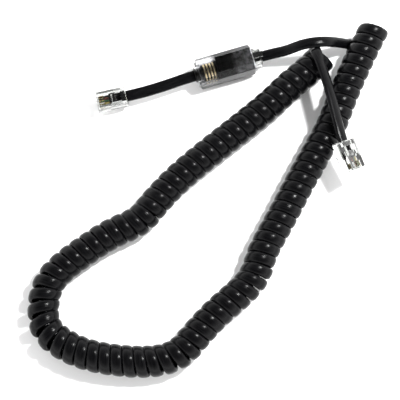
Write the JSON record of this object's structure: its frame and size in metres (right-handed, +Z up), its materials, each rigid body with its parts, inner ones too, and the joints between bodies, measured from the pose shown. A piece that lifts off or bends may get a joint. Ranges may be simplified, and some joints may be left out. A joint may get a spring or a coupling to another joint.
{
  "type": "coiled telescope hand controller lead",
  "caption": "Black coiled flat cord with clear modular plugs and an in-line clear swivel whose rotor carries gold slip rings and a short plugged lead.",
  "frame": {"origin": "middle of the base of the bounding box, on the surface the lead lies on", "axes": "+Z up; +X to the right and +Y away when the coil's loop opens towards the lower left"},
  "size_m": [0.1577, 0.1607, 0.0215],
  "materials": {
    "black_pvc": "glossy flexible PVC jacket",
    "clear_plastic": "clear moulded polycarbonate",
    "smoke_plastic": "dark translucent moulded plastic",
    "black_plastic": "black moulded plastic",
    "gold_plate": "gold-plated bronze",
    "wire_black": "black wire insulation",
    "wire_red": "red wire insulation",
    "wire_green": "green wire insulation",
    "wire_yellow": "yellow wire insulation"
  },
  "bodies": {
    "coil_lead": {"coil_jacket": "black_pvc", "swivel_tail_jacket": "black_pvc", "free_tail_jacket": "black_pvc", "swivel_plug_housing": "clear_plastic", "swivel_plug_contact_1": "gold_plate", "swivel_plug_contact_2": "gold_plate", "swivel_plug_contact_3": "gold_plate", "swivel_plug_contact_4": "gold_plate", "swivel_plug_wire_black": "wire_black", "swivel_plug_wire_red": "wire_red", "swivel_plug_wire_green": "wire_green", "swivel_plug_wire_yellow": "wire_yellow", "free_plug_housing": "clear_plastic", "free_plug_contact_1": "gold_plate", "free_plug_contact_2": "gold_plate", "free_plug_contact_3": "gold_plate", "free_plug_contact_4": "gold_plate", "free_plug_wire_black": "wire_black", "free_plug_wire_red": "wire_red", "free_plug_wire_green": "wire_green", "free_plug_wire_yellow": "wire_yellow"},
    "swivel": {"swivel_housing": "clear_plastic", "swivel_end_cap": "clear_plastic", "swivel_jack_insert": "smoke_plastic", "jack_wire_1": "gold_plate", "jack_wire_2": "gold_plate", "jack_wire_3": "gold_plate", "jack_wire_4": "gold_plate"},
    "rotor": {"rotor_core": "black_plastic", "slip_ring_1": "gold_plate", "slip_ring_2": "gold_plate", "slip_ring_3": "gold_plate", "slip_ring_4": "gold_plate", "rotor_wire_black": "wire_black", "rotor_wire_red": "wire_red", "rotor_wire_green": "wire_green", "rotor_wire_yellow": "wire_yellow", "lead_jacket": "black_pvc", "lead_plug_housing": "clear_plastic", "lead_plug_contact_1": "gold_plate", "lead_plug_contact_2": "gold_plate", "lead_plug_contact_3": "gold_plate", "lead_plug_contact_4": "gold_plate", "lead_plug_wire_black": "wire_black", "lead_plug_wire_red": "wire_red", "lead_plug_wire_green": "wire_green", "lead_plug_wire_yellow": "wire_yellow"},
    "lead_plug_latch": {"lead_plug_latch": "clear_plastic"},
    "swivel_plug_latch": {"swivel_plug_latch": "clear_plastic"},
    "free_plug_latch": {"free_plug_latch": "clear_plastic"}
  },
  "joints": [
    {"name": "swivel_pull_off", "type": "slide", "parent": "coil_lead", "child": "swivel", "axis": [-0.9563, -0.2924, 0], "range_m": [0, 0.012], "deforming": ["swivel_plug_latch"]},
    {"name": "rotor_spin", "type": "hinge", "parent": "swivel", "child": "rotor", "pos_m": [-0.0069, 0.0548, 0.00605], "axis": [0.9563, 0.2924, 0], "continuous": true},
    {"name": "lead_plug_latch_press", "type": "hinge", "parent": "rotor", "child": "lead_plug_latch", "pos_m": [-0.0499, 0.04222, 0.00243], "axis": [0.2181, -0.9759, 0], "range_deg": [0, 7.5], "stiffness_Nm_per_rad": 0.02},
    {"name": "swivel_plug_latch_press", "type": "hinge", "parent": "coil_lead", "child": "swivel_plug_latch", "pos_m": [0.01027, 0.06005, 0.00977], "axis": [-0.2924, 0.9563, 0], "range_deg": [0, 4.5], "stiffness_Nm_per_rad": 0.02},
    {"name": "free_plug_latch_press", "type": "hinge", "parent": "coil_lead", "child": "free_plug_latch", "pos_m": [0.05977, 0.00903, 0.012], "axis": [0.7769, 0.3889, -0.4951], "range_deg": [0, 7.5], "stiffness_Nm_per_rad": 0.02}
  ]
}
